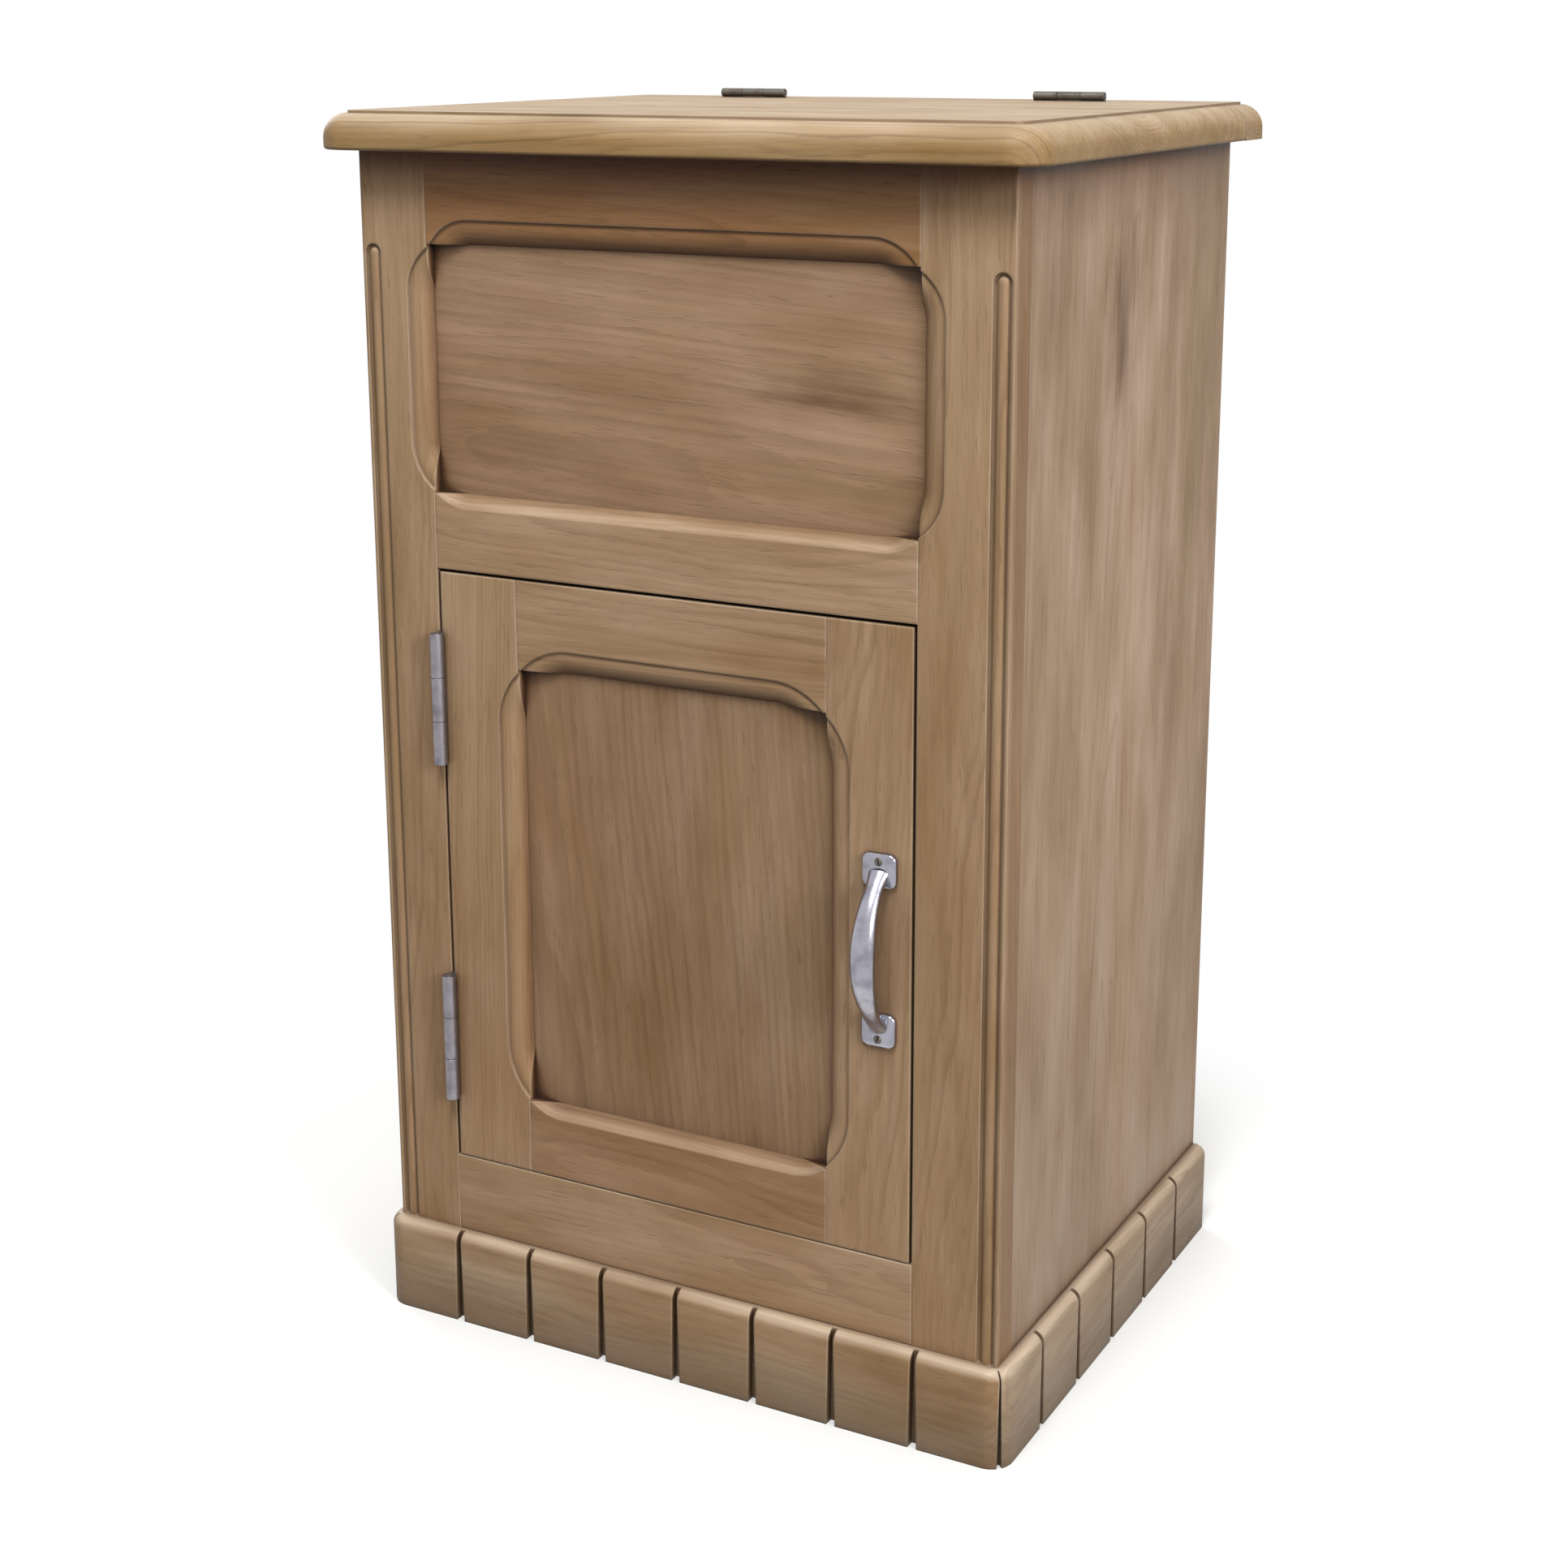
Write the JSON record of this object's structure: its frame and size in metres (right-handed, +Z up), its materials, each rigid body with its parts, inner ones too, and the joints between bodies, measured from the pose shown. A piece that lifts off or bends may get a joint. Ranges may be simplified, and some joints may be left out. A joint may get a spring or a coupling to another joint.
{
  "type": "bedside cabinet",
  "caption": "Oak bedside cabinet with a lift-up lid over a panelled bin, a framed cupboard door with a bow handle below it, and a kerfed plinth.",
  "frame": {"origin": "on the floor, at the middle of the overall width and of the overall depth from handle to back", "axes": "+Z up, +X to the right seen from the front, +Y towards the back"},
  "size_m": [0.452, 0.36, 0.7558],
  "materials": {
    "oak_top": "waxed",
    "oak_frame": "waxed",
    "oak_panel": "waxed",
    "oak_side": "waxed",
    "oak_plinth": "waxed",
    "pine_inside": "bare",
    "hinge_steel": "dull, aged",
    "handle_nickel": "polished nickel",
    "catch_brass": "satin"
  },
  "bodies": {
    "carcase": {"back_board_1": "pine_inside", "back_board_2": "pine_inside", "back_board_3": "pine_inside", "bin_floor": "pine_inside", "bin_floor_cleat_left": "pine_inside", "bin_floor_cleat_right": "pine_inside", "bottom_rail": "oak_frame", "cupboard_floor": "pine_inside", "cupboard_floor_cleat_left": "pine_inside", "cupboard_floor_cleat_right": "pine_inside", "door_hinge_lower_pin": "hinge_steel", "door_hinge_lower_post_leaf": "hinge_steel", "door_hinge_upper_pin": "hinge_steel", "door_hinge_upper_post_leaf": "hinge_steel", "door_stop": "pine_inside", "front_post_left": "oak_frame", "front_post_right": "oak_frame", "lid_hinge_left_pin": "hinge_steel", "lid_hinge_left_strip_leaf": "hinge_steel", "lid_hinge_right_pin": "hinge_steel", "lid_hinge_right_strip_leaf": "hinge_steel", "middle_rail": "oak_frame", "plinth_back": "pine_inside", "plinth_front": "oak_plinth", "plinth_left": "oak_plinth", "plinth_right": "oak_plinth", "rear_top_strip": "oak_top", "side_board_left": "oak_side", "side_board_right": "oak_side", "strike_plate": "catch_brass", "top_rail": "oak_frame", "upper_panel": "oak_panel"},
    "lid": {"lid": "oak_top", "lid_hinge_left_lid_leaf": "hinge_steel", "lid_hinge_right_lid_leaf": "hinge_steel"},
    "door": {"door_catch": "catch_brass", "door_handle": "handle_nickel", "door_hinge_lower_door_leaf": "hinge_steel", "door_hinge_upper_door_leaf": "hinge_steel", "door_panel": "oak_panel", "door_rail_bottom": "oak_frame", "door_rail_top": "oak_frame", "door_stile_left": "oak_frame", "door_stile_right": "oak_frame"}
  },
  "joints": [
    {"name": "lid_hinge", "type": "hinge", "parent": "carcase", "child": "lid", "pos_m": [0, 0.1495, 0.7531], "axis": [-1, 0, 0], "range_deg": [0, 100]},
    {"name": "door_hinge", "type": "hinge", "parent": "carcase", "child": "door", "pos_m": [-0.16, -0.1566, 0.2969], "axis": [0, 0, -1], "range_deg": [0, 165]}
  ]
}
